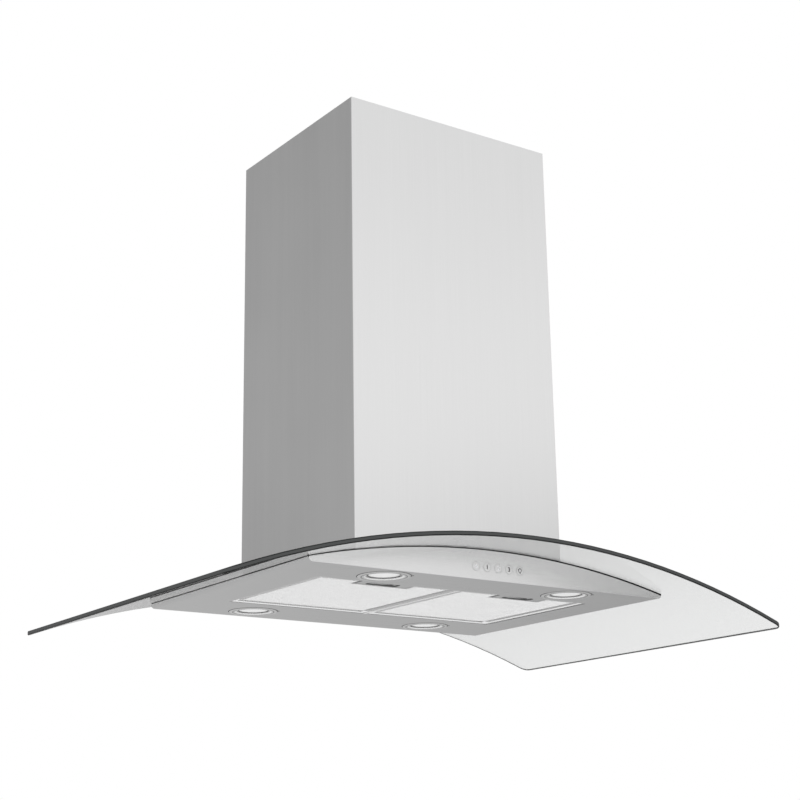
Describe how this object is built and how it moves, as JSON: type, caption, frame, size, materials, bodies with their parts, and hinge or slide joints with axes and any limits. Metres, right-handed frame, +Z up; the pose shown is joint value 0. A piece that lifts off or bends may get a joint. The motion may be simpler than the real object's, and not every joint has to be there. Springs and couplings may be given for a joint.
{
  "type": "range hood",
  "caption": "Ceiling-hung range hood: arched clear glass canopy on a shallow steel body, rectangular telescopic chimney, swing-down grease filters, recessed lamps and push keys.",
  "frame": {"origin": "centre of the ceiling plate's top face, in the middle of the four ceiling bolts", "axes": "+X right along the front, +Y towards the back, +Z up; the hood hangs below the origin"},
  "size_m": [0.9, 0.58, 0.7308],
  "materials": {
    "chimney_steel": "fine vertical brushing",
    "body_steel": "fine brushing along the width",
    "zinc_steel": "galvanised sheet",
    "fastener_steel": "bright zinc plating",
    "clear_glass": "clear, pencil-polished edge",
    "black_rubber": "matt",
    "cap_steel": "polished",
    "diffuser": "frosted",
    "cast_aluminium": "bead blasted",
    "filter_aluminium": "bright expanded mesh and rolled frame",
    "black_plastic": "matt moulded",
    "grey_plastic": "matt moulded",
    "motor_paint": "satin paint",
    "board_green": "solder mask"
  },
  "bodies": {
    "ceiling_frame": {"ceiling_plate": "zinc_steel", "upper_uprights": "zinc_steel", "upper_brace": "zinc_steel", "upper_flue": "chimney_steel", "upper_flue_screws": "fastener_steel"},
    "rotor": {"impeller": "black_plastic", "motor_shaft": "fastener_steel"},
    "damper_left": {"damper_left": "grey_plastic"},
    "damper_right": {"damper_right": "grey_plastic"},
    "filter_left": {"filter_frame_left": "filter_aluminium", "filter_mesh_left": "filter_aluminium", "filter_handle_left": "body_steel", "latch_spring_left": "fastener_steel"},
    "latch_left": {"filter_latch_left": "filter_aluminium"},
    "filter_right": {"filter_frame_right": "filter_aluminium", "filter_mesh_right": "filter_aluminium", "filter_handle_right": "body_steel", "latch_spring_right": "fastener_steel"},
    "latch_right": {"filter_latch_right": "filter_aluminium"},
    "key_power": {"key_power": "body_steel"},
    "key_speed_1": {"key_speed_1": "body_steel"},
    "key_speed_2": {"key_speed_2": "body_steel"},
    "key_speed_3": {"key_speed_3": "body_steel"},
    "key_lamp": {"key_lamp": "body_steel"},
    "hood": {"lower_flue": "chimney_steel", "underside_panel": "body_steel", "front_panel": "body_steel", "back_panel": "body_steel", "filter_surround": "body_steel", "filter_divider": "body_steel", "lamp_trim_1": "body_steel", "lamp_trim_2": "body_steel", "lamp_trim_3": "body_steel", "lamp_trim_4": "body_steel", "lower_uprights": "zinc_steel", "top_cover": "zinc_steel", "side_rails": "zinc_steel", "motor_box": "zinc_steel", "motor_bracket": "zinc_steel", "clamp_bolts": "fastener_steel", "flue_fixings": "fastener_steel", "glass_screws": "fastener_steel", "key_springs": "fastener_steel", "glass": "clear_glass", "glass_gasket": "black_rubber", "glass_bushes": "cap_steel", "lamp_lens_1": "diffuser", "lamp_lens_2": "diffuser", "lamp_lens_3": "diffuser", "lamp_lens_4": "diffuser", "lamp_bodies": "cast_aluminium", "capacitor": "cast_aluminium", "scroll_housing": "black_plastic", "terminal_box": "black_plastic", "cable_gland": "black_plastic", "key_carrier": "black_plastic", "power_box": "black_plastic", "outlet_collar": "grey_plastic", "motor": "motor_paint", "control_board": "board_green"}
  },
  "joints": [
    {"name": "hood_drop", "type": "slide", "parent": "ceiling_frame", "child": "hood", "axis": [0, 0, -1], "range_m": [0, 0.35]},
    {"name": "fan_spin", "type": "hinge", "parent": "hood", "child": "rotor", "pos_m": [-0.031, 0, -0.507], "axis": [0, 1, 0], "continuous": true},
    {"name": "damper_left_lift", "type": "hinge", "parent": "hood", "child": "damper_left", "pos_m": [0.0198, 0, -0.379], "axis": [0, 1, 0], "range_deg": [0, 75]},
    {"name": "damper_right_lift", "type": "hinge", "parent": "hood", "child": "damper_right", "pos_m": [0.0282, 0, -0.379], "axis": [0, -1, 0], "range_deg": [0, 75]},
    {"name": "filter_left_swing", "type": "hinge", "parent": "hood", "child": "filter_left", "pos_m": [-0.1145, 0.0885, -0.687], "axis": [1, 0, 0], "range_deg": [0, 80]},
    {"name": "latch_left_slide", "type": "slide", "parent": "filter_left", "child": "latch_left", "axis": [0, 1, 0], "range_m": [0, 0.005], "stiffness_N_per_m": 300, "deforming": ["latch_spring_left"]},
    {"name": "filter_right_swing", "type": "hinge", "parent": "hood", "child": "filter_right", "pos_m": [0.1145, 0.0885, -0.687], "axis": [1, 0, 0], "range_deg": [0, 80]},
    {"name": "latch_right_slide", "type": "slide", "parent": "filter_right", "child": "latch_right", "axis": [0, 1, 0], "range_m": [0, 0.005], "stiffness_N_per_m": 300, "deforming": ["latch_spring_right"]},
    {"name": "key_power_press", "type": "slide", "parent": "hood", "child": "key_power", "axis": [0, 1, 0], "range_m": [0, 0.001], "stiffness_N_per_m": 800, "deforming": ["key_springs"]},
    {"name": "key_speed_1_press", "type": "slide", "parent": "hood", "child": "key_speed_1", "axis": [0, 1, 0], "range_m": [0, 0.001], "stiffness_N_per_m": 800, "deforming": ["key_springs"]},
    {"name": "key_speed_2_press", "type": "slide", "parent": "hood", "child": "key_speed_2", "axis": [0, 1, 0], "range_m": [0, 0.001], "stiffness_N_per_m": 800, "deforming": ["key_springs"]},
    {"name": "key_speed_3_press", "type": "slide", "parent": "hood", "child": "key_speed_3", "axis": [0, 1, 0], "range_m": [0, 0.001], "stiffness_N_per_m": 800, "deforming": ["key_springs"]},
    {"name": "key_lamp_press", "type": "slide", "parent": "hood", "child": "key_lamp", "axis": [0, 1, 0], "range_m": [0, 0.001], "stiffness_N_per_m": 800, "deforming": ["key_springs"]}
  ]
}
